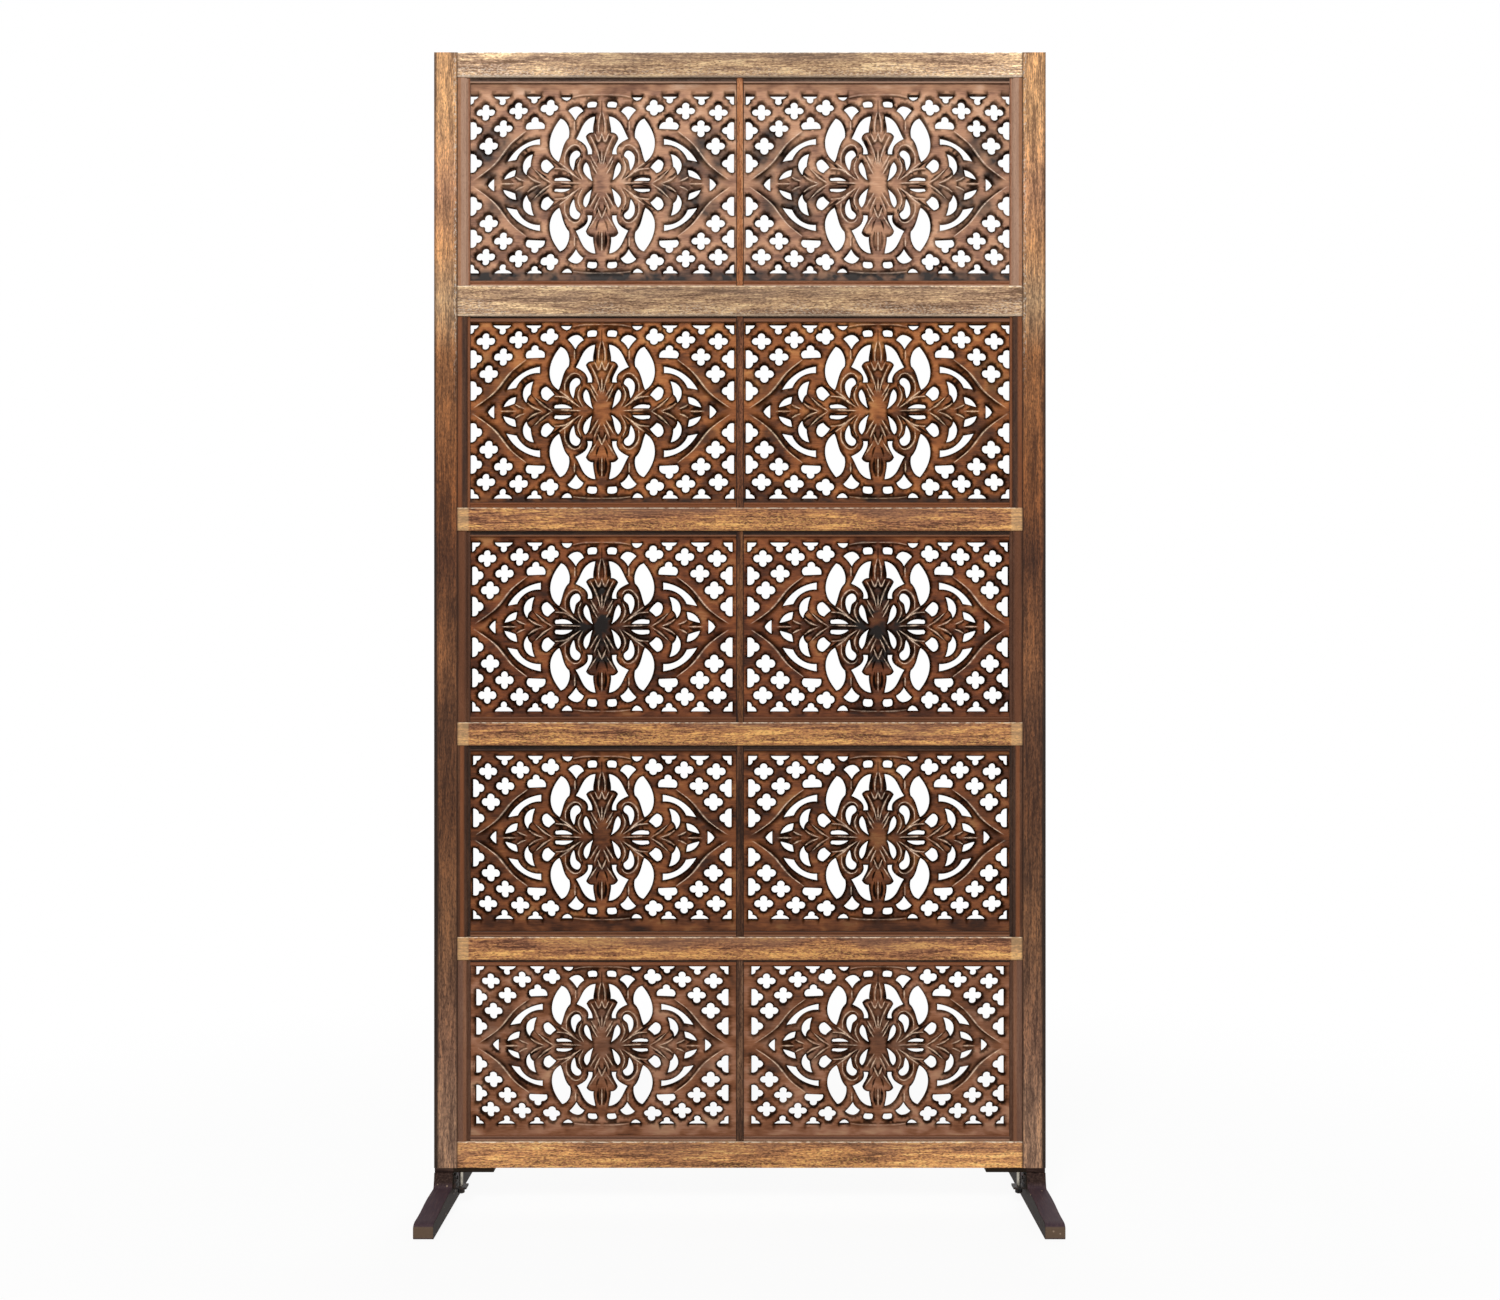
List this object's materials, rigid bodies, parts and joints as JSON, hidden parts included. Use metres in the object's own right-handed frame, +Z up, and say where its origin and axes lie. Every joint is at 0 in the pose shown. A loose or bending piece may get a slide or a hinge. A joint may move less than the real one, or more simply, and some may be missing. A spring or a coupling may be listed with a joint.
{
  "type": "carved jali screen",
  "caption": "Free-standing wooden room divider: pierced and relief-carved boards in a pegged frame that stands on two sled feet running front to back.",
  "frame": {"origin": "on the floor, midway between the feet and midway between front and back", "axes": "+Z up, X across the screen, the carved face looks along -Y"},
  "size_m": [0.97, 0.38, 1.829],
  "materials": {
    "frame_wood": "wax over stained mango wood, worn",
    "rail_wood": "wax over mango wood, grain filled",
    "carved_wood": "stained and waxed, darker in the cuts",
    "bead_wood": "stained, worn along the edges",
    "dark_wood": "dark stained, satin",
    "peg_wood": "unfinished end grain",
    "blackened_iron": "blackened",
    "steel": "plain zinc, dulled",
    "nylon": "matte"
  },
  "bodies": {
    "root": {"back_beads_row_1": "bead_wood", "back_beads_row_2": "bead_wood", "back_beads_row_3": "bead_wood", "back_beads_row_4": "bead_wood", "back_beads_row_5": "bead_wood", "bead_brads": "steel", "bottom_rail": "rail_wood", "bracket_screws": "steel", "carved_board_row_1_left": "carved_wood", "carved_board_row_1_right": "carved_wood", "carved_board_row_2_left": "carved_wood", "carved_board_row_2_right": "carved_wood", "carved_board_row_3_left": "carved_wood", "carved_board_row_3_right": "carved_wood", "carved_board_row_4_left": "carved_wood", "carved_board_row_4_right": "carved_wood", "carved_board_row_5_left": "carved_wood", "carved_board_row_5_right": "carved_wood", "cross_beads_row_1": "bead_wood", "cross_beads_row_2": "bead_wood", "cross_beads_row_3": "bead_wood", "cross_beads_row_4": "bead_wood", "cross_beads_row_5": "bead_wood", "fifth_rail": "rail_wood", "foot_brackets": "blackened_iron", "foot_glides": "nylon", "foot_left": "dark_wood", "foot_plate_left": "dark_wood", "foot_plate_right": "dark_wood", "foot_right": "dark_wood", "foot_screws": "steel", "foot_studs": "steel", "fourth_rail": "rail_wood", "muntin_row_1": "frame_wood", "muntin_row_2": "frame_wood", "muntin_row_3": "frame_wood", "muntin_row_4": "frame_wood", "muntin_row_5": "frame_wood", "plate_screws": "steel", "side_bead_row_1_left": "bead_wood", "side_bead_row_1_right": "bead_wood", "side_bead_row_2_left": "bead_wood", "side_bead_row_2_right": "bead_wood", "side_bead_row_3_left": "bead_wood", "side_bead_row_3_right": "bead_wood", "side_bead_row_4_left": "bead_wood", "side_bead_row_4_right": "bead_wood", "side_bead_row_5_left": "bead_wood", "side_bead_row_5_right": "bead_wood", "stile_left": "frame_wood", "stile_right": "frame_wood", "stud_nuts": "steel", "tenon_pegs": "peg_wood", "third_rail": "rail_wood", "top_rail": "rail_wood", "upper_rail": "rail_wood"}
  },
  "joints": []
}
